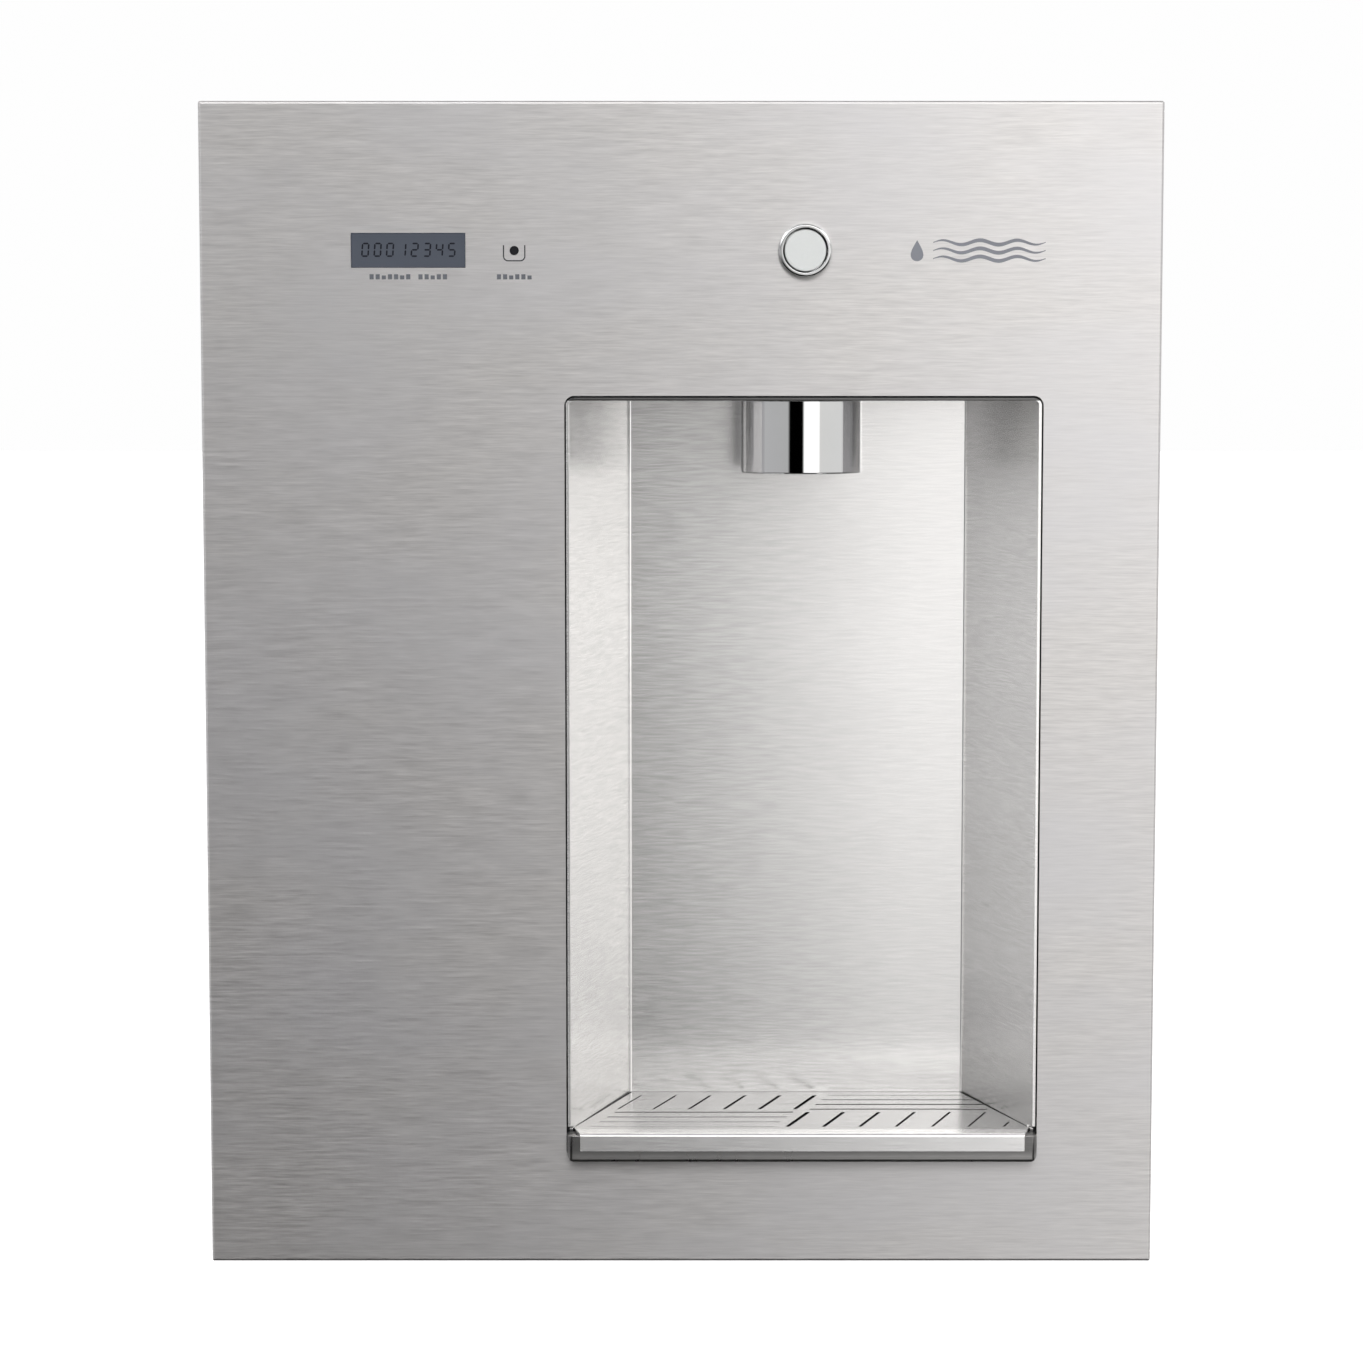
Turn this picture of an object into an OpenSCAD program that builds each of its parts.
// In-wall filtered water dispenser: a stainless face panel with a recessed bottle alcove,
// held by magnets over a steel wall box that carries the filter, the valves and the electronics.
// X runs right, Y runs into the wall and Z runs up. The origin is the panel's centre, on the
// finished wall's plane.

/* [Face panel] */
// Width of the face panel
panel_w = 394; // [394:1:400]
// Height of the face panel
panel_h = 482; // [482:1:490]
// Distance from the finished wall to the panel's front face
panel_stand = 10; // [10:0.5:11]
// Sheet thickness of the face panel
panel_t = 1.2; // [1:0.1:1.4]
// Outside radius of the panel's bent edges
bend_r = 1.2; // [1:0.1:1.4]

/* [Alcove] */
// Left edge of the opening in the panel
mouth_left = -48; // [-50:0.5:-47]
// Right edge of the opening in the panel
mouth_right = 148.8; // [147:0.2:150]
// Top edge of the opening in the panel
mouth_top = 121.2; // [119:0.2:123]
// Bottom edge of the opening in the panel
mouth_bottom = -197.6; // [-199:0.2:-196]
// Corner radius of the opening
mouth_r = 4; // [3:0.5:5]
// Depth from the panel's face to the alcove's back wall
alcove_d = 74.2; // [70:0.2:76]
// How far each alcove side wall leans in over its depth
alcove_taper = 23.6; // [20:0.2:26]
// Sheet thickness of the alcove liner
liner_t = 1.2; // [1:0.1:1.6]

/* [Drip tray] */
// Height of the drip plate's top face
plate_z = -184.6; // [-186:0.2:-184]
// How far the plate's front lip stands proud of the panel
lip_out = 8.8; // [6:0.2:10]
// Height of the plate's front lip
lip_h = 7.5; // [5:0.5:8]
// Number of slanted drain slots in each row
slot_count = 6; // [3:1:6]
// Distance between neighbouring slots
slot_pitch = 15.2; // [14:0.1:15.4]

/* [Nozzle] */
// Centre of the nozzle from the panel's centre
nozzle_x = 50.4; // [40:0.2:60]
// Distance of the nozzle's axis behind the panel's face
nozzle_d = 27.2; // [26:0.2:32]
// Radius of the nozzle's shroud
nozzle_r = 25.2; // [20:0.1:26]
// Height of the shroud's lower rim
nozzle_z = 89; // [80:0.5:95]

/* [Controls] */
// Centre of the push button
button_x = 50.7; // [45:0.1:56]
// Height of the button and the display
control_z = 180.4; // [176:0.2:184]
// Outside radius of the button's bezel
bezel_r = 11; // [10:0.1:12]
// Travel of the button
button_travel = 2; // [1:0.5:2.5]

/* [Wall box] */
// Width of the wall box, for a 368 mm stud bay
box_w = 362; // [360:1:364]
// Height of the wall box
box_h = 452; // [450:1:456]
// Depth of the wall box behind the wall's plane
box_d = 92; // [92:1:98]
// Sheet thickness of the wall box
box_t = 1.2; // [1:0.1:1.5]

/* [Filter] */
// Centre of the filter cartridge
filter_x = -120; // [-122:1:-118]
// Radius of the filter cartridge
filter_r = 36; // [34:0.5:37]
// Height of the cartridge's lowest point
filter_z = -200; // [-204:1:-190]

/* [Hidden] */

$fn = 64;
e = 0.5; // how far a cutter runs past the face it cuts

// Planes through the depth of the object
face_y = -panel_stand;
panel_back_y = face_y + panel_t;
panel_edge_y = -0.4;
frame_t = 1.5;
frame_y = [-box_t - frame_t, -box_t];
flange_y = [frame_y[0] - liner_t, frame_y[0]];
box_back_y = box_d - box_t;

// Alcove
liner_gap = 0.6;
liner_front_y = face_y + 0.3;
liner_back_y = face_y + alcove_d;
liner_left = mouth_left + liner_gap + liner_t;
liner_right = mouth_right - liner_gap - liner_t;
ceiling_z = mouth_top - 0.8 - liner_t;
sump_z = mouth_bottom + liner_gap + liner_t;
lean = alcove_taper / (liner_back_y - liner_front_y);
fold_r = 1.2;
fascia_y = [face_y - lip_out + 1, face_y + 2];
plate_t = 1.2;
tray_gap = 0.4;

// Nozzle
nozzle_y = face_y + nozzle_d;
thread_r = 9;
nut_af = 27;
outlet_z = 150;

// Filter and water path
filter_y = 46;
neck_z = 32;
head_z = [34, 84];
neck_r = 19;
port_x = 14;
line_y = 46;
tube_r = 3.175;
valve_x = -62;
valve_z = -176;
valve_y = 45;
sensor_x = [-78, -38];
coil_x = 2;

// Panel fittings
magnet_x = 170;
magnet_z = 112;
magnet_r = 7;
pin_z = 60;
pin_r = 2.5;
pin_clearance = 0.06;
display_x = [-135.1, -88.2];
display_z = [173.4, 187.6];
housing_x = [-143, -54];
housing_z = [162, 198];
icon_x = -68.3;
dot_r = 1.8;
plug_x = 0;
screw_x = 171;
screw_z = [-200, 0, 200];

// Holes of the wall box for anchors in the wall and screws into the studs
anchor_x = 185.5;
anchor_z = 230.5;
stud_y = [22, 72];
stud_z = 150;

// ---------------------------------------------------------------- shapes used below

// Block between two corners, each axis given as [low, high]
module block(x, y, z) {
    translate([x[0], y[0], z[0]]) cube([x[1] - x[0], y[1] - y[0], z[1] - z[0]]);
}

// Outline drawn in X and Z, raised along Y from y0 to y1
module raised_y(y0, y1) {
    translate([0, y1, 0]) rotate([90, 0, 0]) linear_extrude(y1 - y0) children();
}

// Outline drawn in Y and Z, raised along X from x0 to x1
module raised_x(x0, x1) {
    translate([x0, 0, 0]) rotate([90, 0, 90]) linear_extrude(x1 - x0) children();
}

// Rectangle with four round corners
module rounded(x, z, r) {
    translate([x[0] + r, z[0]]) square([x[1] - x[0] - 2 * r, z[1] - z[0]]);
    translate([x[0], z[0] + r]) square([x[1] - x[0], z[1] - z[0] - 2 * r]);
    for (cx = [x[0] + r, x[1] - r], cz = [z[0] + r, z[1] - r]) translate([cx, cz]) circle(r);
}

// Points of an arc about c, from angle a0 to a1
function arc(c, r, a0, a1, n = 8) =
    [for (k = [0 : n]) c + r * [cos(a0 + (a1 - a0) * k / n), sin(a0 + (a1 - a0) * k / n)]];

// Round bar along Y
module bar_y(r, y0, y1, x = 0, z = 0) {
    translate([x, y0, z]) rotate([-90, 0, 0]) cylinder(r = r, h = y1 - y0);
}

// Round bar along X
module bar_x(r, x0, x1, y = 0, z = 0) {
    translate([x0, y, z]) rotate([0, 90, 0]) cylinder(r = r, h = x1 - x0);
}

// Round bar along Z
module bar_z(r, z0, z1, x = 0, y = 0) {
    translate([x, y, z0]) cylinder(r = r, h = z1 - z0);
}

// Ring along Z
module ring_z(outer, inner, z0, z1, x = 0, y = 0) {
    difference() {
        bar_z(outer, z0, z1, x, y);
        bar_z(inner, z0 - e, z1 + e, x, y);
    }
}

// Ring along Y
module ring_y(outer, inner, y0, y1, x = 0, z = 0) {
    difference() {
        bar_y(outer, y0, y1, x, z);
        bar_y(inner, y0 - e, y1 + e, x, z);
    }
}

// Pan-head screw that points along +Y with its head's seat at y
module screw_y(y, r, length, head_r, head_h) {
    difference() {
        union() {
            bar_y(head_r, y - head_h, y);
            bar_y(r, y - e, y + length);
        }
        for (turn = [0, 90]) translate([0, y - head_h, 0]) rotate([0, turn, 0])
            cube([head_r * 1.1, head_h, head_r * 0.3], center = true);
    }
}

// Tube along a route of hand-placed points, with its corners rounded
function unit(v) = v / norm(v);
function rounded_route(p, bend, n = 6) = [
    p[0],
    for (i = [1 : len(p) - 2])
        let (a = p[i] + bend * unit(p[i - 1] - p[i]), b = p[i] + bend * unit(p[i + 1] - p[i]))
        for (k = [0 : n]) let (s = k / n) a * (1 - s) ^ 2 + 2 * p[i] * s * (1 - s) + b * s ^ 2,
    p[len(p) - 1]];
function headings(q) =
    [for (i = [0 : len(q) - 1]) unit(q[min(i + 1, len(q) - 1)] - q[max(i - 1, 0)])];
function first_side(d) = unit(cross(d, abs(d[2]) < 0.9 ? [0, 0, 1] : [1, 0, 0]));
function turned(n, d) = unit(n - (n * d) * d);
function sides_along(t) =
    [for (i = 0, n = first_side(t[0]); i < len(t); i = i + 1, n = i < len(t) ? turned(n, t[i]) : n) n];

module swept(q, r, m = 12) {
    t = headings(q);
    s = sides_along(t);
    last = len(q) - 1;
    points = [for (i = [0 : last], k = [0 : m - 1])
        q[i] + r * (cos(360 * k / m) * s[i] + sin(360 * k / m) * cross(t[i], s[i]))];
    walls = [for (i = [0 : last - 1], k = [0 : m - 1], half = [0, 1])
        let (a = i * m + k, b = i * m + (k + 1) % m, c = b + m, d = a + m)
        half == 0 ? [a, d, c] : [a, c, b]];
    polyhedron(points, concat(walls, [[for (k = [0 : m - 1]) k],
        [for (k = [m - 1 : -1 : 0]) last * m + k]]));
}

// Coil spring along Z
module coil_spring(r, wire_r, z0, z1, turns, steps = 14) {
    n = turns * steps;
    swept([for (i = [0 : n]) [r * cos(360 * i / steps), r * sin(360 * i / steps),
        z0 + wire_r + (z1 - z0 - 2 * wire_r) * i / n]], wire_r, 6);
}

// ---------------------------------------------------------------- wall box and frame

// Places of the screws that hold the frame to the box
module at_frame_screws() {
    for (x = [-screw_x, screw_x], z = screw_z) translate([x, 0, z]) children();
}

power_x = 128;
power_y = 30;
supply_hole_r = 11.1;
grommet_bore_r = 5.5;

module wall_box() {
    bead_r = 4;
    bead_x = 118;
    bead_z = 120;
    bead_run = [170, 80];
    bead_end = 10;
    bead_y = box_d - bead_r + 1.5;
    bead_cut_y = [box_back_y + 0.2, box_d + bead_r];
    flange_out = 9;
    screw_tab_x = [-10.5, 9.5];
    screw_tab_z = [-9, 9];
    tab_h = 18;
    tab_y = [12, box_d - 6];
    weld_r = 2.5;
    weld_h = 0.2;
    spare_top_x = [-70, 60];
    spare_bottom_x = [60, 110];
    score_w = 0.8;
    score_d = 0.5;
    outer_x = [-box_w / 2, box_w / 2];
    outer_z = [-box_h / 2, box_h / 2];
    color("gainsboro") difference() {
        union() {
            difference() {
                block(outer_x, [-box_t, box_d], outer_z);
                block([outer_x[0] + box_t, outer_x[1] - box_t], [-box_t - e, box_back_y],
                    [outer_z[0] + box_t, outer_z[1] - box_t]);
            }
            // Outward flange that lies on the finished wall
            difference() {
                raised_y(-box_t, 0) rounded([outer_x[0] - flange_out, outer_x[1] + flange_out],
                    [outer_z[0] - flange_out, outer_z[1] + flange_out], 4);
                block([outer_x[0] + box_t / 2, outer_x[1] - box_t / 2], [-box_t - e, e],
                    [outer_z[0] + box_t / 2, outer_z[1] - box_t / 2]);
            }
            // Inward tabs that take the frame's screws
            at_frame_screws() block(screw_tab_x, [-box_t, 0], screw_tab_z);
            // Corner tabs folded over the side walls
            for (side = [-1, 1], end = [-1, 1]) translate([side * (box_w + box_t) / 2, 0, 0])
                block([-box_t / 2 - 0.1, box_t / 2 + 0.1], tab_y,
                    end > 0 ? [outer_z[1] - tab_h, outer_z[1]] : [outer_z[0], outer_z[0] + tab_h]);
            // Pressed stiffening beads on the back
            for (x = [-bead_x, bead_x]) intersection() {
                bar_z(bead_r, -bead_run[0], bead_run[0], x, bead_y);
                block([x - bead_end, x + bead_end], bead_cut_y,
                    [-bead_run[0] - bead_end, bead_run[0] + bead_end]);
            }
            for (z = [-bead_z, bead_z]) intersection() {
                bar_x(bead_r, -bead_run[1], bead_run[1], bead_y, z);
                block([-bead_run[1] - bead_end, bead_run[1] + bead_end], bead_cut_y,
                    [z - bead_end, z + bead_end]);
            }
        }
        at_frame_screws() bar_y(1.7, -box_t - e, e);
        at_bracket_screws() bar_y(1.7, box_back_y - e, box_d + e);
        // Anchor holes at the flange's corners
        for (x = [-anchor_x, anchor_x], z = [-anchor_z, anchor_z]) bar_y(2.3, -box_t - e, e, x, z);
        // Holes for the screws into the studs
        for (y = stud_y, z = [-stud_z, stud_z]) bar_x(2.5, outer_x[0] - e, outer_x[1] + e, y, z);
        // Supply holes for the power cable above and the water tube below
        bar_z(supply_hole_r, outer_z[1] - 2 * box_t, outer_z[1] + e, power_x, power_y);
        bar_z(supply_hole_r, outer_z[0] - e, outer_z[0] + 2 * box_t, valve_x, valve_y);
        // Spot welds of the corner tabs
        for (side = [-1, 1], z = [outer_z[0] + tab_h / 2, outer_z[1] - tab_h / 2], y = [24, 49, 74])
            translate([side * (box_w / 2 + box_t), 0, 0]) bar_x(weld_r, -weld_h, weld_h, y, z);
        // Scored rings of the spare knock-outs
        for (x = spare_top_x)
            ring_z(supply_hole_r, supply_hole_r - score_w, outer_z[1] - score_d, outer_z[1] + e, x, power_y);
        for (x = spare_bottom_x)
            ring_z(supply_hole_r, supply_hole_r - score_w, outer_z[0] - e, outer_z[0] + score_d, x, valve_y);
    }
}

// Rubber grommet in a hole of the box's top or bottom wall
module grommet(x, y, z, inner) {
    color("dimgray") difference() {
        union() {
            bar_z(supply_hole_r - 0.05, z - box_t / 2 - 2, z + box_t / 2 + 2, x, y);
            for (side = [-1, 1]) translate([x, y, z + side * (box_t / 2 + 1.1) - 1])
                cylinder(r = supply_hole_r + 2, h = 2);
        }
        bar_z(inner, z - 5, z + 5, x, y);
    }
}

module power_grommet() {
    grommet(power_x, power_y, box_h / 2 - box_t / 2, grommet_bore_r);
}

module water_grommet() {
    grommet(valve_x, valve_y, -box_h / 2 + box_t / 2, grommet_bore_r);
}

module front_frame() {
    edge = 0.8;
    bay_x = [-160, -58];
    bay_z = [-216, 112];
    return_y = [frame_y[0], 8];
    color("lightgray") difference() {
        union() {
            raised_y(frame_y[0], frame_y[1]) rounded([-box_w / 2 + edge, box_w / 2 - edge],
                [-box_h / 2 + edge, box_h / 2 - edge], 3);
            // Stiffening returns beside the filter bay and below it
            block([bay_x[1] + 1.5, bay_x[1] + 3], return_y, [bay_z[0] + 11, bay_z[1] - 12]);
            block([bay_x[0] + 2, bay_x[1] - 2], return_y, [bay_z[0] - 3.5, bay_z[0] - 2]);
            // Bosses that carry the panel's locating pins
            for (x = [-magnet_x, magnet_x], z = [-pin_z, pin_z]) bar_y(5, frame_y[0], 2, x, z);
        }
        // Alcove cut-out
        raised_y(frame_y[0] - e, frame_y[1] + e)
            rounded([mouth_left + 1.6, mouth_right - 1.6], [mouth_bottom + 0.2, mouth_top - 0.4], 3);
        // Filter bay cut-out
        raised_y(frame_y[0] - e, frame_y[1] + e) rounded(bay_x, bay_z, 8);
        // Display, button and connector cut-outs
        raised_y(frame_y[0] - e, frame_y[1] + e)
            rounded([housing_x[0] - 3, housing_x[1] + 3], [housing_z[0] - 3, housing_z[1] + 3], 4);
        bar_y(17, frame_y[0] - e, frame_y[1] + e, button_x, control_z);
        raised_y(frame_y[0] - e, frame_y[1] + e)
            rounded([plug_x - 14, plug_x + 14], [control_z - 8, control_z + 8], 2);
        at_frame_screws() bar_y(2.2, frame_y[0] - e, frame_y[1] + e);
        for (x = [-magnet_x, magnet_x], z = [-pin_z, pin_z])
            bar_y(pin_r + pin_clearance, frame_y[0] - e, 3, x, z);
        at_liner_screws() bar_y(1.7, frame_y[0] - e, frame_y[1] + e);
        at_socket_screws() bar_y(1.7, frame_y[0] - e, frame_y[1] + e);
    }
}

module frame_screws() {
    color("silver") at_frame_screws() screw_y(frame_y[0], 1.65, 10, 3.8, 2.4);
}

// ---------------------------------------------------------------- alcove

// Screws along the liner's flange
module at_liner_screws() {
    for (x = [mouth_left - 5, mouth_right + 5], z = [-150, -38, 75]) translate([x, 0, z]) children();
    for (x = [0, 100]) translate([x, 0, mouth_top + 5]) children();
}

// Screws beside the panel connector's socket
module at_socket_screws() {
    for (side = [-1, 1]) translate([plug_x + side * 18, 0, control_z]) children();
}

// Plan of the alcove grown outwards by g, with folded corners at the back
function plan(g, r) = let (yb = liner_back_y + g, xl = liner_left - g, xr = liner_right + g,
    turn = 90 - atan(lean),
    bl = [xl + lean * (yb - liner_front_y), yb], br = [xr - lean * (yb - liner_front_y), yb],
    cl = bl + [r * tan(turn / 2), -r], cr = br + [-r * tan(turn / 2), -r]) concat(
    [[xl, liner_front_y - (g > 0 ? 0 : e)]],
    arc(cl, r, 90 + turn, 90),
    arc(cr, r, 90, 90 - turn),
    [[xr, liner_front_y - (g > 0 ? 0 : e)]]);

module alcove_liner() {
    flange_r = 5;
    rim_cut_z = plate_z + 0.4;
    notch_z = [plate_z, plate_z + 0.9];
    notch_back_y = flange_y[0] - 0.6;
    color("whitesmoke") difference() {
        union() {
            intersection() {
                translate([0, 0, sump_z - liner_t])
                    linear_extrude(ceiling_z - sump_z + 2 * liner_t) polygon(plan(liner_t, fold_r + liner_t));
                raised_y(liner_front_y - e, liner_back_y + 5) rounded(
                    [liner_left - liner_t, liner_right + liner_t],
                    [sump_z - liner_t, ceiling_z + liner_t], mouth_r - liner_gap);
            }
            raised_y(flange_y[0], flange_y[1])
                rounded([mouth_left - 9, mouth_right + 9], [mouth_bottom - 8, mouth_top + 9], flange_r);
        }
        intersection() {
            translate([0, 0, sump_z]) linear_extrude(ceiling_z - sump_z) polygon(plan(0, fold_r));
            raised_y(liner_front_y - 1, liner_back_y + 5)
                rounded([liner_left, liner_right], [sump_z, ceiling_z], mouth_r - liner_gap - liner_t);
        }
        // The rim steps back where the tray's fascia closes the mouth
        block([mouth_left - 2, mouth_right + 2], [liner_front_y - 1, fascia_y[1] + tray_gap],
            [mouth_bottom - 2, rim_cut_z]);
        // Relief notches at the ends of that step
        block([mouth_left - 2, mouth_right + 2], [liner_front_y - 1, notch_back_y], notch_z);
        bar_z(thread_r + 0.2, ceiling_z - e, ceiling_z + liner_t + e, nozzle_x, nozzle_y);
        at_liner_screws() bar_y(2.2, flange_y[0] - e, flange_y[1] + e);
    }
}

// Foam seal on the liner's flange, which closes the gap round the mouth behind the panel
module alcove_seal() {
    lap = 1.4;
    seal_y = [panel_back_y + 1.2, flange_y[0]];
    color("black") difference() {
        raised_y(seal_y[0], seal_y[1]) rounded([mouth_left - lap, mouth_right + lap],
            [mouth_bottom - lap, mouth_top + lap], mouth_r + lap);
        raised_y(seal_y[0] - e, seal_y[1] + e) rounded([mouth_left + 0.9, mouth_right - 0.9],
            [mouth_bottom + liner_gap - 0.05, ceiling_z + liner_t + 0.05], mouth_r - 1);
    }
}

// Screws of the liner's flange and of the connector's socket
module sheet_screws() {
    color("silver") {
        at_liner_screws() screw_y(flange_y[0], 1.65, 8, 3.2, 1.8);
        at_socket_screws() screw_y(frame_y[0], 1.65, 8, 3.2, 1.8);
    }
}

// Left and right edges of what fits between the alcove walls, at depth y
function left_at(y, gap) = liner_left + lean * (y - liner_front_y) + gap;
function right_at(y, gap) = liner_right - lean * (y - liner_front_y) - gap;

module drip_tray() {
    wall = 1.6;
    front = fascia_y[1] - 0.6;
    back = liner_back_y - 0.8;
    top = plate_z - plate_t - 0.1;
    base = sump_z + 0.3;
    left = mouth_left + 0.5;
    right = mouth_right - 0.5;
    low = mouth_bottom + 0.45;
    corner_r = 2.2;
    edge_r = 1.4;
    color("darkgray") difference() {
        union() {
            // Fascia that closes the mouth below the plate
            intersection() {
                raised_y(fascia_y[0] + 0.6, fascia_y[1])
                    rounded([left, right], [low, plate_z + 10], mouth_r - 0.5);
                translate([0, 0, low - e]) linear_extrude(top - low + e) {
                    rounded([left, right], [fascia_y[0] + 0.6, fascia_y[1] + 20], corner_r);
                }
                raised_x(left - e, right + e)
                    rounded([fascia_y[0] + 0.6, fascia_y[1] + 20], [low, top + 20], edge_r);
                block([left - e, right + e], [fascia_y[0], fascia_y[1]], [low - e, top]);
            }
            // Basin inside the liner
            translate([0, 0, base]) linear_extrude(top - base) polygon([
                [left_at(front, 0.6), front], [left_at(back, 0.6) + 2, back],
                [right_at(back, 0.6) - 2, back], [right_at(front, 0.6), front]]);
        }
        translate([0, 0, base + wall]) linear_extrude(20) polygon([
            [left_at(front, 0.6) + wall + 1, fascia_y[0] + 4], [left_at(back, 0.6) + 4, back - wall],
            [right_at(back, 0.6) - 4, back - wall], [right_at(front, 0.6) - wall - 1, fascia_y[0] + 4]]);
    }
}

// Middle of the slot pattern, which reads the same when turned half round
slot_cx = 51.5;
slot_cy = face_y + 36;
slot_run = 28.2;
// Widths fall away from the middle of the plate
function slot_width(i) = 1.9 - 0.2 * i;

// Slanted slot, cut square to the plate's front edge
module slant_slot(x, y, run, w) {
    step = run * lean * 1.08;
    translate([x, y, plate_z - plate_t - 5]) linear_extrude(10)
        polygon([[-w / 2, 0], [w / 2, 0], [step + w / 2, run], [step - w / 2, run]]);
}

module half_pattern() {
    row_y = slot_cy + 2.8;
    first_x = slot_cx - 2.8;
    for (i = [0 : slot_count - 1])
        slant_slot(first_x - slot_pitch * i, row_y, slot_run, slot_width(i));
    // Long lines that fill the other half of the row in front
    for (k = [0 : 3]) {
        y = slot_cy - 3 - 9.4 * k;
        w = 2 - 0.35 * k;
        x0 = slot_cx - 80 - lean * 9.4 * k;
        x1 = slot_cx - 3.7 - lean * 9.4 * k;
        translate([x0, y - w / 2, plate_z - plate_t - 5]) cube([x1 - x0, w, 10]);
    }
}

module drip_grille() {
    front = face_y - lip_out;
    shoulder = face_y + 2.8;
    back = liner_back_y - tray_gap;
    corner_x = 3;
    roll = 1.5;
    brow = 1.4;
    color("silver") difference() {
        intersection() {
            union() {
                block([mouth_left, mouth_right], [front, back], [plate_z - plate_t, plate_z]);
                block([mouth_left, mouth_right], [front, front + 1], [plate_z - lip_h, plate_z]);
                block([mouth_left, mouth_right], [front, front + brow], [plate_z - 2 * brow, plate_z]);
            }
            // Rolled front edge
            raised_x(mouth_left - e, mouth_right + e)
                rounded([front, back + 30], [plate_z - 60, plate_z], roll);
            // Outline between the alcove's walls, with the front corners cut back
            translate([0, 0, plate_z - 20]) linear_extrude(30) polygon([
                [left_at(shoulder, tray_gap) + corner_x, front], [left_at(shoulder, tray_gap), shoulder],
                [left_at(back, tray_gap) + 0.8, back], [right_at(back, tray_gap) - 0.8, back],
                [right_at(shoulder, tray_gap), shoulder], [right_at(shoulder, tray_gap) - corner_x, front]]);
        }
        half_pattern();
        translate([2 * slot_cx, 2 * slot_cy, 0]) rotate(180) half_pattern();
        slant_slot(slot_cx + 84, face_y + 5.1, 8.8, slot_width(5));
    }
}

// ---------------------------------------------------------------- nozzle

module nozzle_shroud() {
    wall = 1.6;
    top = ceiling_z - 0.1;
    color("white") translate([nozzle_x, nozzle_y, 0]) difference() {
        rotate_extrude() polygon([[nozzle_r - wall, nozzle_z], [nozzle_r - 0.4, nozzle_z],
            [nozzle_r, nozzle_z + 0.4], [nozzle_r, top], [thread_r + 0.1, top], [thread_r + 0.1, top - 2],
            [nozzle_r - wall, top - 2]]);
    }
}

module nozzle_body() {
    flange_z = ceiling_z - 5;
    color("gray") translate([nozzle_x, nozzle_y, 0]) rotate_extrude() polygon([
        [4, nozzle_z + 12], [9.6, nozzle_z + 12], [9.6, flange_z - 3], [13, flange_z], [13, flange_z + 2.8],
        [thread_r, flange_z + 2.8], [thread_r, outlet_z - 14], [4, outlet_z - 14]]);
}

module nozzle_aerator() {
    color("dimgray") translate([nozzle_x, nozzle_y, 0]) difference() {
        rotate_extrude() polygon([[3, nozzle_z + 3], [9, nozzle_z + 3], [10.5, nozzle_z + 4.5],
            [10.5, nozzle_z + 11.9], [3, nozzle_z + 11.9]]);
        for (a = [0 : 45 : 315]) rotate(a) translate([6.4, 0, 0]) bar_z(0.9, nozzle_z, nozzle_z + 6);
    }
}

module nozzle_gasket() {
    z = ceiling_z + liner_t;
    color("black") ring_z(16, thread_r + 0.1, z, z + 2, nozzle_x, nozzle_y);
}

module nozzle_nut() {
    z = ceiling_z + liner_t + 2;
    color("goldenrod") difference() {
        translate([nozzle_x, nozzle_y, z]) cylinder(d = nut_af / cos(30), h = 8, $fn = 6);
        bar_z(thread_r + 0.05, z - e, z + 8 + e, nozzle_x, nozzle_y);
    }
}

// Elbow on the nozzle's upper end, with its port towards the back
module nozzle_elbow() {
    socket_z = outlet_z - 14;
    color("ivory") difference() {
        union() {
            bar_z(8, socket_z, outlet_z + 8, nozzle_x, nozzle_y);
            bar_y(7, nozzle_y, nozzle_y + 17, nozzle_x, outlet_z);
        }
        bar_z(4, socket_z - e, outlet_z, nozzle_x, nozzle_y);
        bar_y(3.3, nozzle_y + 6, nozzle_y + 18, nozzle_x, outlet_z);
        bar_y(2.2, nozzle_y, nozzle_y + 8, nozzle_x, outlet_z);
    }
}

// ---------------------------------------------------------------- filter

module at_filter() {
    translate([filter_x, filter_y, 0]) children();
}

// Screws of the filter bracket
module at_bracket_screws() {
    for (x = [-24, 24], z = [52, 108]) translate([filter_x + x, 0, z]) children();
}

module filter_bracket() {
    plate_y = [box_back_y - 2, box_back_y];
    color("lightsteelblue") difference() {
        union() {
            block([filter_x - 34, filter_x + 34], plate_y, [40, 116]);
            block([filter_x - 34, filter_x + 34], [filter_y - 20, box_back_y], [head_z[1], head_z[1] + 2]);
            for (side = [-1, 1]) translate([filter_x + side * 33 - 1, 0, 0])
                block([0, 2], [filter_y, box_back_y], [head_z[1], head_z[1] + 20]);
        }
        for (side = [-1, 1]) bar_z(9, head_z[1] - e, head_z[1] + 3, filter_x + side * port_x, filter_y);
        at_bracket_screws() bar_y(2.2, plate_y[0] - e, plate_y[1] + e);
    }
}

module bracket_screws() {
    color("silver") at_bracket_screws() screw_y(box_back_y - 2, 1.65, 4, 3.6, 2.2);
}

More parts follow.
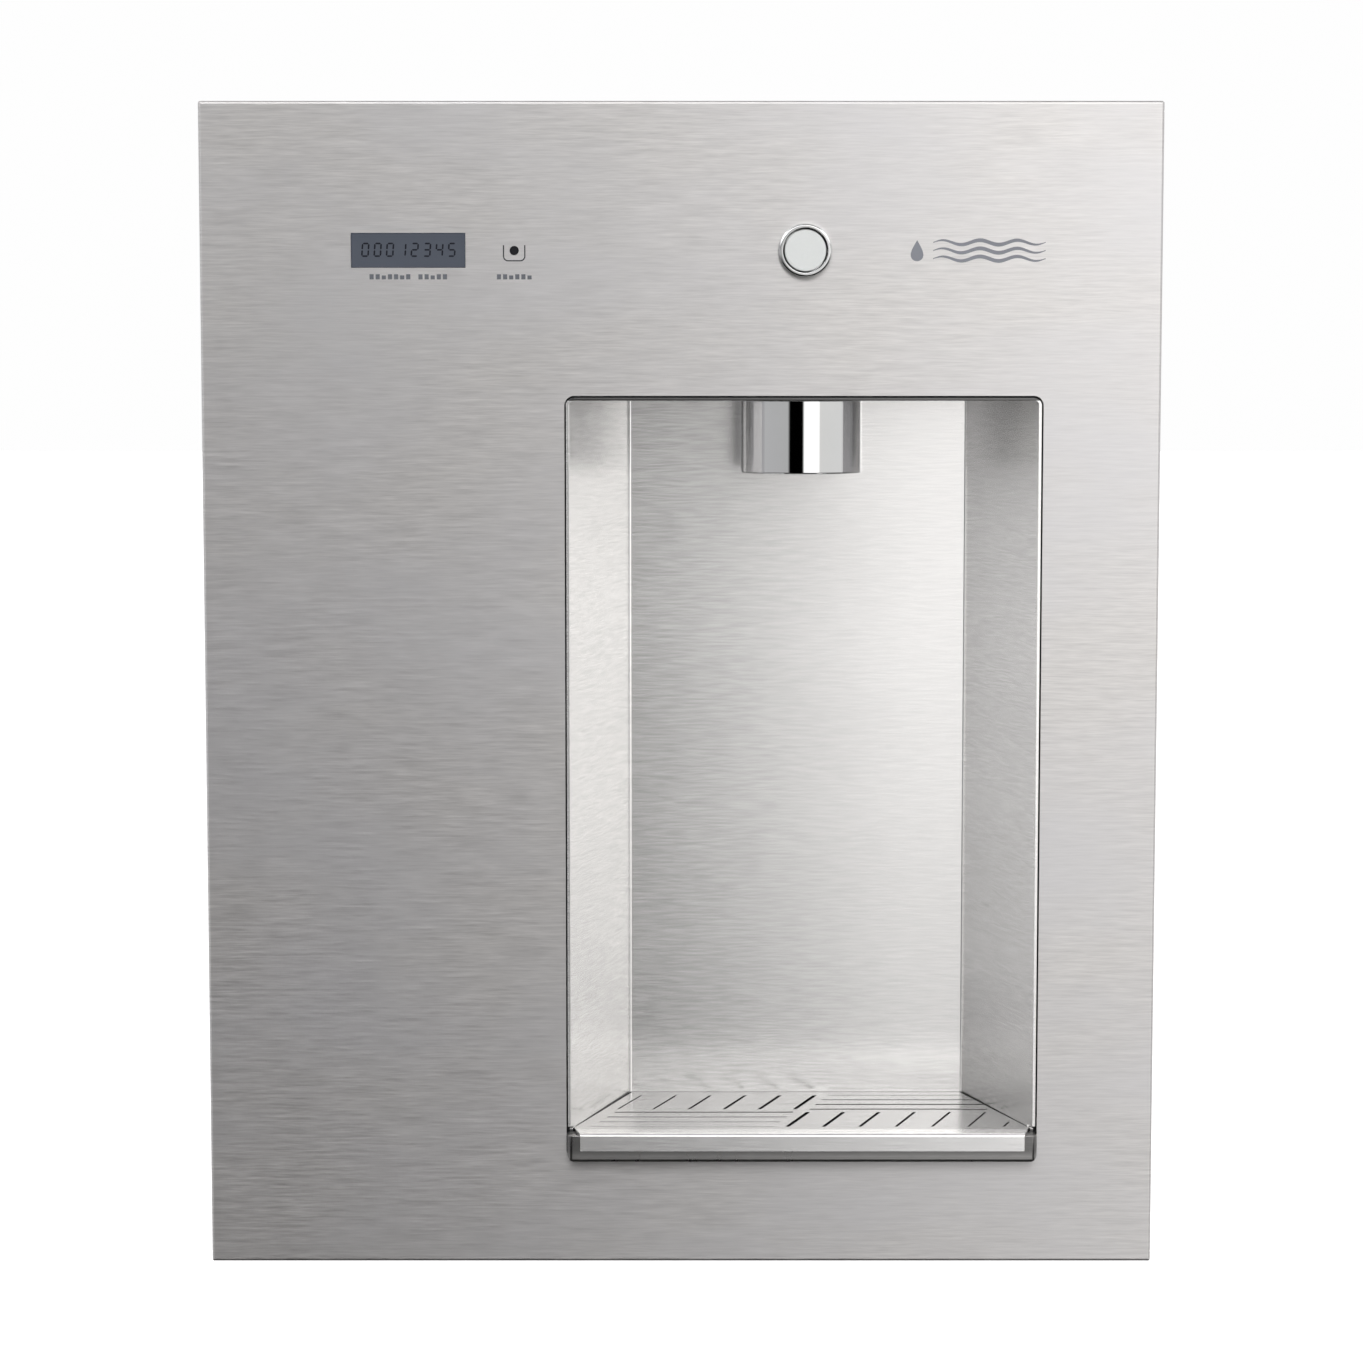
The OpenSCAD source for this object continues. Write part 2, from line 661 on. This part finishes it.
module filter_head() {
    socket_r = neck_r + 0.5;
    color("ghostwhite") at_filter() difference() {
        union() {
            rotate_extrude() polygon([[0, head_z[0]], [29, head_z[0]], [30, head_z[0] + 2],
                [30, head_z[1] - 8], [26, head_z[1]], [0, head_z[1]]]);
            for (side = [-1, 1]) bar_z(7, head_z[1] - 1, head_z[1] + 14, side * port_x, 0);
        }
        bar_z(socket_r, head_z[0] - e, head_z[0] + 26);
        // Ring groove in which the bayonet lugs turn, and the ways they leave by
        bar_z(socket_r + 4, head_z[0] + 5, head_z[0] + 13);
        for (a = [90, 270]) rotate(a) intersection() {
            bar_z(socket_r + 4, head_z[0] - e, head_z[0] + 6);
            block([0, 40], [-7, 7], [head_z[0] - e, head_z[0] + 6]);
        }
        for (side = [-1, 1]) bar_z(3.3, head_z[1] + 4, head_z[1] + 15, side * port_x, 0);
        for (side = [-1, 1]) bar_z(2.2, head_z[0] + 20, head_z[1] + 6, side * port_x, 0);
    }
}

module filter_cartridge() {
    dome = 8;
    shoulder_z = neck_z - 14;
    color("aliceblue") at_filter() difference() {
        union() {
            rotate_extrude() polygon(concat([[0, filter_z]],
                arc([filter_r - dome, filter_z + dome], dome, -90, 0),
                arc([filter_r - dome, shoulder_z - dome], dome, 0, 90),
                [[neck_r + 6, neck_z - 10], [neck_r, neck_z - 6], [neck_r, head_z[0] + 14],
                 [neck_r - 2, head_z[0] + 15.2], [neck_r - 2, head_z[0] + 17.8], [neck_r, head_z[0] + 19],
                 [neck_r, head_z[0] + 22], [0, head_z[0] + 22]]));
            // Bayonet lugs
            for (a = [0, 180]) rotate(a) intersection() {
                bar_z(neck_r + 3.2, head_z[0] + 6, head_z[0] + 12);
                block([0, 40], [-6, 6], [head_z[0], head_z[0] + 20]);
            }
            // Grip ribs around the foot
            for (a = [0 : 15 : 345]) rotate(a) block([filter_r - 3, filter_r + 0.9], [-1.5, 1.5],
                [filter_z + 14, filter_z + 44]);
        }
        for (a = [0, 180]) rotate(a) bar_z(2, head_z[0] + 12, head_z[0] + 23, 10, 0);
    }
}

module filter_oring() {
    ring_r = 1.2;
    color("black") at_filter() translate([0, 0, head_z[0] + 16.5]) rotate_extrude()
        translate([neck_r - 2 + ring_r, 0]) circle(ring_r, $fn = 24);
}

// ---------------------------------------------------------------- inlet valve

module inlet_valve() {
    port_z = [valve_z - 28, valve_z + 26];
    color("darkkhaki") translate([valve_x, valve_y, 0]) difference() {
        union() {
            bar_z(11, valve_z - 12, valve_z + 12);
            bar_z(7, port_z[0], port_z[1]);
            bar_z(8.5, port_z[0], port_z[0] + 8);
            bar_z(8.5, port_z[1] - 8, port_z[1]);
            translate([0, 0, valve_z]) bar_y(7, -15, 0);
        }
        bar_z(tube_r + 0.05, port_z[0] - e, port_z[0] + 16);
        bar_z(tube_r + 0.1, port_z[1] - 14, port_z[1] + e);
        bar_z(2.4, port_z[0], port_z[1]);
        // Bore that the lever's stem turns in
        translate([0, 0, valve_z]) bar_y(3.5, -15 - e, -5);
    }
}

lever_y = valve_y - 19;

module inlet_valve_lever() {
    color("royalblue") translate([valve_x, 0, valve_z]) {
        difference() {
            union() {
                bar_y(7, lever_y, lever_y + 3.6);
                raised_y(lever_y, lever_y + 3) hull() {
                    circle(6);
                    translate([0, 20]) circle(4);
                }
            }
            bar_y(1.4, lever_y - e, lever_y + 2);
        }
        bar_y(3.44, lever_y + 3, valve_y - 5.4);
    }
}

// ---------------------------------------------------------------- flow sensor and solenoid valve

// Depth of the push-fit sockets at the sensor's ends, which stop short of its chamber, and of the
// solenoid valve's
sensor_socket = 9;
solenoid_socket = 12;
socket_gap = 0.2; // between a tube's end and the bottom of its socket

module at_sensor() {
    translate([(sensor_x[0] + sensor_x[1]) / 2, line_y, outlet_z]) children();
}

module flow_sensor() {
    half = (sensor_x[1] - sensor_x[0]) / 2;
    color("black") at_sensor() difference() {
        union() {
            bar_x(7, -half, half);
            bar_y(13, -9, 9);
            block([-9, 9], [-8, 8], [11, 18]);
        }
        bar_x(3.3, -half - e, sensor_socket - half);
        bar_x(3.3, half - sensor_socket, half + e);
        bar_x(2.2, -half, half);
        bar_y(10.6, -5, 5);
        bar_y(1.25, -7.5, 7.5);
    }
}

module flow_rotor() {
    blades = 6;
    color("white") at_sensor() {
        bar_y(1.2, -7.2, 7.2);
        bar_y(3, -4.4, 4.4);
        for (a = [0 : 360 / blades : 359]) rotate([0, a, 0]) block([2, 9.8], [-4.2, 4.2], [-0.6, 0.6]);
    }
}

module at_solenoid() {
    translate([coil_x, line_y, outlet_z]) children();
}

core_r = 5;
core_z = 12;
solenoid_half = 24;

module solenoid_valve() {
    half = solenoid_half;
    color("ivory") at_solenoid() difference() {
        union() {
            bar_x(7, -half, half);
            bar_z(13, -8, 8);
            bar_z(7, 8, 42);
        }
        bar_x(3.3, -half - e, solenoid_socket - half);
        bar_x(3.3, half - solenoid_socket, half + e);
        bar_x(2.2, -half, half);
        // Guide tube of the plunger, closed at the top
        bar_z(core_r + 0.08, 6, 40);
        bar_z(1.6, 0, 7);
    }
}

module solenoid_coil() {
    color("forestgreen") at_solenoid() difference() {
        union() {
            block([-14, 14], [-14, 14], [12, 36]);
            block([14, 21], [-6, 6], [18, 30]);
        }
        bar_z(7.1, 11, 37);
    }
}

module solenoid_plunger() {
    color("silver") at_solenoid() difference() {
        bar_z(core_r, core_z - 5, core_z + 14);
        bar_z(3.2, core_z + 8, core_z + 15);
    }
}

module plunger_spring() {
    color("silver") at_solenoid() coil_spring(2.4, 0.4, core_z + 8.3, 39.8, 8);
}

// ---------------------------------------------------------------- water tubes

filter_port_z = head_z[1] + 4.2;
valve_port_z = valve_z + 26 - 13.8;
tube_bend = 18;

tube_to_filter_route = rounded_route([[valve_x, valve_y, valve_port_z], [valve_x, valve_y, 130],
    [filter_x + port_x, filter_y, 130], [filter_x + port_x, filter_y, filter_port_z]], tube_bend);
tube_from_filter_route = rounded_route([[filter_x - port_x, filter_y, filter_port_z],
    [filter_x - port_x, filter_y, outlet_z],
    [sensor_x[0] + sensor_socket - socket_gap, line_y, outlet_z]], tube_bend);
tube_to_solenoid_route = [[sensor_x[1] - sensor_socket + socket_gap, line_y, outlet_z],
    [coil_x - solenoid_half + solenoid_socket - socket_gap, line_y, outlet_z]];
tube_to_nozzle_route = rounded_route([
    [coil_x + solenoid_half - solenoid_socket + socket_gap, line_y, outlet_z],
    [nozzle_x, line_y, outlet_z], [nozzle_x, nozzle_y + 6.2, outlet_z]], 8);

module tube_to_filter() {
    color("deepskyblue") swept(tube_to_filter_route, tube_r);
}

module tube_from_filter() {
    color("deepskyblue") swept(tube_from_filter_route, tube_r);
}

module tube_to_solenoid() {
    color("deepskyblue") swept(tube_to_solenoid_route, tube_r);
}

module tube_to_nozzle() {
    color("deepskyblue") swept(tube_to_nozzle_route, tube_r);
}

// Release collet around a tube where it enters a fitting
module collet() {
    ring_z(5.4, tube_r + 0.1, 0, 1.4);
    ring_z(4.4, tube_r + 0.1, 1.2, 3);
}

module push_fit_collets() {
    color("whitesmoke") {
        for (side = [-1, 1]) translate([filter_x + side * port_x, filter_y, head_z[1] + 14]) collet();
        translate([valve_x, valve_y, valve_z + 26]) collet();
        translate([sensor_x[0], line_y, outlet_z]) rotate([0, -90, 0]) collet();
        translate([sensor_x[1], line_y, outlet_z]) rotate([0, 90, 0]) collet();
        translate([coil_x - solenoid_half, line_y, outlet_z]) rotate([0, -90, 0]) collet();
        translate([coil_x + solenoid_half, line_y, outlet_z]) rotate([0, 90, 0]) collet();
        translate([nozzle_x, nozzle_y + 17, outlet_z]) rotate([-90, 0, 0]) collet();
    }
}

// ---------------------------------------------------------------- electronics

ctrl_x = [84, 162];
ctrl_y = [46, box_back_y];
ctrl_z = [134, 210];
supply_x = [-168, -60];
supply_y = [60, box_back_y];
supply_z = [168, 216];

// Screws at the corners of the control box's cover
module at_cover_screws() {
    inset = 5;
    for (x = [ctrl_x[0] + inset, ctrl_x[1] - inset], z = [ctrl_z[0] + inset, ctrl_z[1] - inset])
        translate([x, 0, z]) children();
}

module control_box() {
    wall = 2;
    color("dimgray") difference() {
        union() {
            difference() {
                block(ctrl_x, [ctrl_y[0] + 2.1, ctrl_y[1]], ctrl_z);
                block([ctrl_x[0] + wall, ctrl_x[1] - wall], [ctrl_y[0], ctrl_y[1] - wall],
                    [ctrl_z[0] + wall, ctrl_z[1] - wall]);
            }
            at_cover_screws() bar_y(4, ctrl_y[0] + 2.1, ctrl_y[0] + 24);
        }
        at_cover_screws() bar_y(1.3, ctrl_y[0] + 1, ctrl_y[0] + 16);
        // Holes that the leads come out of
        for (z = [sensor_hole_z, solenoid_hole_z, panel_hole_z, power_hole_z])
            bar_x(3, ctrl_x[0] - e, ctrl_x[0] + wall + e, lead_y, z);
    }
}

module control_cover() {
    color("gray") difference() {
        block(ctrl_x, [ctrl_y[0], ctrl_y[0] + 2], ctrl_z);
        at_cover_screws() bar_y(1.6, ctrl_y[0] - e, ctrl_y[0] + 3);
        for (k = [0 : 5]) block([ctrl_x[0] + 20, ctrl_x[1] - 20], [ctrl_y[0] - e, ctrl_y[0] + 3],
            [ctrl_z[0] + 26 + 5 * k, ctrl_z[0] + 28 + 5 * k]);
    }
}

module cover_screws() {
    color("silver") at_cover_screws() screw_y(ctrl_y[0], 1.25, 12, 2.8, 1.6);
}

module control_board() {
    y = ctrl_y[1] - 10;
    color("seagreen") {
        block([ctrl_x[0] + 3, ctrl_x[1] - 3], [y, y + 1.6], [ctrl_z[0] + 3, ctrl_z[1] - 3]);
        block([ctrl_x[0] + 14, ctrl_x[0] + 30], [y - 12, y], [ctrl_z[0] + 10, ctrl_z[0] + 26]);
        block([ctrl_x[0] + 38, ctrl_x[0] + 52], [y - 3, y], [ctrl_z[0] + 38, ctrl_z[0] + 52]);
        for (k = [0 : 2]) bar_y(4, y - 11, y, ctrl_x[0] + 42 + 11 * k, ctrl_z[0] + 16);
    }
}

module power_supply() {
    color("silver") difference() {
        block(supply_x, supply_y, supply_z);
        for (k = [0 : 9]) block([supply_x[0] + 14 + 8 * k, supply_x[0] + 18 + 8 * k],
            [supply_y[0] - e, supply_y[0] + 1.5], [supply_z[0] + 8, supply_z[1] - 8]);
    }
}

lead_r = 2.4;
lead_y = ctrl_y[0] + 22;
// Heights of the leads' holes in the control box's left wall
sensor_hole_z = ctrl_z[0] + 18;
solenoid_hole_z = ctrl_z[0] + 34;
panel_hole_z = ctrl_z[0] + 50;
power_hole_z = ctrl_z[0] + 64;

// Last points of a lead: straight through its hole into the control box
function into_box(z) = [[ctrl_x[0] - 14, lead_y, z], [ctrl_x[0] + 5, lead_y, z]];

module power_lead() {
    z = power_hole_z;
    y = supply_y[0] + 14;
    color("black") swept(rounded_route(concat([[supply_x[1], y, z], [supply_x[1] + 18, y, z],
        [-10, y + 6, z - 8], [46, y, z - 8]], into_box(z)), 8), lead_r);
}

module solenoid_lead() {
    z = outlet_z + 24;
    color("black") swept(rounded_route(concat([[coil_x + 21, line_y, z], [coil_x + 38, line_y, z]],
        into_box(solenoid_hole_z)), 7), lead_r);
}

module sensor_lead() {
    x = sensor_x[0] + 29;
    y = line_y + 3;
    z = outlet_z + 14;
    color("black") swept(rounded_route(concat([[x, y, z], [x + 14, y, z], [x + 20, y + 25, z],
        [50, y + 25, sensor_hole_z]], into_box(sensor_hole_z)), 7), lead_r);
}

socket_back_y = 9;

module panel_lead() {
    z = panel_hole_z;
    way = [[plug_x, socket_back_y, control_z], [plug_x, socket_back_y + 15, control_z],
        [40, 30, z + 16], [58, 60, z + 6]];
    color("black") swept(rounded_route(concat(way, into_box(z)), 8), lead_r);
}

module frame_socket() {
    color("black") difference() {
        union() {
            block([plug_x - 13, plug_x + 13], [-3.4, socket_back_y], [control_z - 7, control_z + 7]);
            block([plug_x - 22, plug_x + 22], [frame_y[1], frame_y[1] + 2], [control_z - 11, control_z + 11]);
        }
        for (k = [-2 : 2]) bar_y(1.1, -3.4 - e, 2, plug_x + 4.4 * k, control_z);
        at_socket_screws() bar_y(1.7, frame_y[1] - e, frame_y[1] + 3);
    }
}

// Cup magnets that hold the panel
module catch_magnets() {
    front = panel_back_y + 1.5;
    color("gray") for (x = [-magnet_x, magnet_x], z = [-magnet_z, magnet_z])
        ring_y(magnet_r, 1.8, front, frame_y[0], x, z);
}

// ---------------------------------------------------------------- face panel

module front_panel() {
    hw = panel_w / 2;
    hh = panel_h / 2;
    far = 60;
    relief = 4.2;
    color("lightgray") difference() {
        // Three crossed profiles give the folded pan its rounded edges and corners
        intersection() {
            block([-hw, hw], [face_y, panel_edge_y], [-hh, hh]);
            raised_x(-hw - e, hw + e) rounded([face_y, far], [-hh, hh], bend_r);
            translate([0, 0, -hh - e]) linear_extrude(panel_h + 2 * e)
                rounded([-hw, hw], [face_y, far], bend_r);
            raised_y(face_y - e, 1) rounded([-hw, hw], [-hh, hh], bend_r);
        }
        block([-hw + panel_t, hw - panel_t], [panel_back_y, 1], [-hh + panel_t, hh - panel_t]);
        raised_y(face_y - e, panel_back_y + e)
            rounded([mouth_left, mouth_right], [mouth_bottom, mouth_top], mouth_r);
        block(display_x, [face_y - e, panel_back_y + e], display_z);
        bar_y(dot_r + 0.1, face_y - e, panel_back_y + e, icon_x, control_z);
        bar_y(9.6, face_y - e, panel_back_y + e, button_x, control_z);
        // Relief slits where the side flanges end below the corners
        for (x = [-hw, hw], z = [-hh + relief, hh - relief])
            block([x - panel_t - 0.1, x + panel_t + 0.1], [face_y + 0.5, 1], [z - 0.3, z + 0.3]);
    }
}

module panel_strikes() {
    color("silver") for (x = [-magnet_x, magnet_x], z = [-magnet_z, magnet_z])
        bar_y(9, panel_back_y, panel_back_y + 1.2, x, z);
}

module locating_pins() {
    color("silver") for (x = [-magnet_x, magnet_x], z = [-pin_z, pin_z]) {
        bar_y(pin_r, panel_back_y, 1.2, x, z);
        bar_y(4.5, panel_back_y, panel_back_y + 1, x, z);
    }
}

module panel_plug() {
    color("black") {
        block([plug_x - 12, plug_x + 12], [panel_back_y, -4.6], [control_z - 6, control_z + 6]);
        for (k = [-2 : 2]) bar_y(0.7, -4.7, -0.4, plug_x + 4.4 * k, control_z);
    }
}

module display_window() {
    color("slategray") block([display_x[0] + 0.1, display_x[1] - 0.1], [face_y + 0.1, panel_back_y - 0.1],
        [display_z[0] + 0.1, display_z[1] - 0.1]);
}

module display_module() {
    color("darkslategray") block([display_x[0] - 3, display_x[1] + 3],
        [panel_back_y + 0.3, panel_back_y + 3.8], [display_z[0] - 3, display_z[1] + 3]);
}

module display_board() {
    y = panel_back_y + 6;
    color("seagreen") {
        block([housing_x[0] + 3, housing_x[1] - 3], [y, y + 1.6], [housing_z[0] + 3, housing_z[1] - 3]);
        for (k = [0 : 5]) translate([display_x[0] + 3 + 7 * k, 0, 0])
            block([0, 3], [y + 1.6, y + 3], [control_z - 6, control_z + 4]);
    }
}

module display_housing() {
    wall = 1.6;
    back = 5;
    color("black") difference() {
        block(housing_x, [panel_back_y, back], housing_z);
        block([housing_x[0] + wall, housing_x[1] - wall], [panel_back_y - e, back - wall],
            [housing_z[0] + wall, housing_z[1] - wall]);
        for (k = [0 : 7]) block([housing_x[0] + 12 + 5 * k, housing_x[0] + 14.5 + 5 * k],
            [back - wall - e, back + e], [housing_z[0] + 8, housing_z[1] - 8]);
    }
}

module filter_indicator() {
    color("black") {
        bar_y(dot_r, face_y + 0.1, panel_back_y + 5.9, icon_x, control_z);
        bar_y(dot_r + 1.4, panel_back_y + 0.2, panel_back_y + 2, icon_x, control_z);
    }
}

// ---------------------------------------------------------------- push button

cap_r = 8.5;
well_r = 9.05;
bezel_front = face_y - 3;
barrel_y = 9;
module at_button() {
    translate([button_x, 0, control_z]) rotate([-90, 0, 0]) children();
}

// Bezel and threaded barrel, turned in one piece
module button_bezel() {
    shelf = 1;
    color("white") at_button() rotate_extrude() polygon([
        [well_r, bezel_front + 0.15], [well_r + 0.15, bezel_front], [bezel_r - 0.8, bezel_front],
        [bezel_r, bezel_front + 0.8], [bezel_r, face_y], [9.55, face_y], [9.55, barrel_y],
        [4, barrel_y], [4, shelf], [well_r, shelf]]);
}

module button_cap() {
    front = bezel_front - 0.5;
    stem_end = barrel_y - 0.5 - button_travel;
    color("whitesmoke") at_button() rotate_extrude() polygon([[0, front], [cap_r - 0.5, front],
        [cap_r, front + 0.5], [cap_r, front + 9], [3.2, front + 9],
        [3.2, stem_end], [0, stem_end]]);
}

module button_spring() {
    color("silver") at_button() coil_spring(5.2, 0.45, bezel_front + 8.6, 0.9, 4);
}

module button_gasket() {
    color("black") ring_y(13, 9.65, panel_back_y, panel_back_y + 1.2, button_x, control_z);
}

module button_nut() {
    y = panel_back_y + 1.2;
    color("silver") difference() {
        translate([button_x, y, control_z]) rotate([-90, 0, 0]) cylinder(d = 25 / cos(30), h = 3.5, $fn = 6);
        bar_y(9.6, y - e, y + 4, button_x, control_z);
    }
}

module button_switch() {
    y = barrel_y + 0.1;
    color("black") {
        bar_y(9, y, y + 12, button_x, control_z);
        for (side = [-1, 1]) block([button_x + side * 4 - 1.4, button_x + side * 4 + 1.4], [y + 12, y + 18],
            [control_z - 0.4, control_z + 0.4]);
    }
}

// ---------------------------------------------------------------- nodes

wall_box();
power_grommet();
water_grommet();
front_frame();
frame_screws();
alcove_liner();
alcove_seal();
sheet_screws();
drip_tray();
drip_grille();
nozzle_shroud();
nozzle_body();
nozzle_aerator();
nozzle_gasket();
nozzle_nut();
nozzle_elbow();
filter_bracket();
bracket_screws();
filter_head();
filter_cartridge();
filter_oring();
inlet_valve();
inlet_valve_lever();
flow_sensor();
flow_rotor();
solenoid_valve();
solenoid_coil();
solenoid_plunger();
plunger_spring();
tube_to_filter();
tube_from_filter();
tube_to_solenoid();
tube_to_nozzle();
push_fit_collets();
control_box();
control_cover();
cover_screws();
control_board();
power_supply();
power_lead();
solenoid_lead();
sensor_lead();
panel_lead();
frame_socket();
catch_magnets();
front_panel();
panel_strikes();
locating_pins();
panel_plug();
display_window();
display_module();
display_board();
display_housing();
filter_indicator();
button_bezel();
button_cap();
button_spring();
button_gasket();
button_nut();
button_switch();
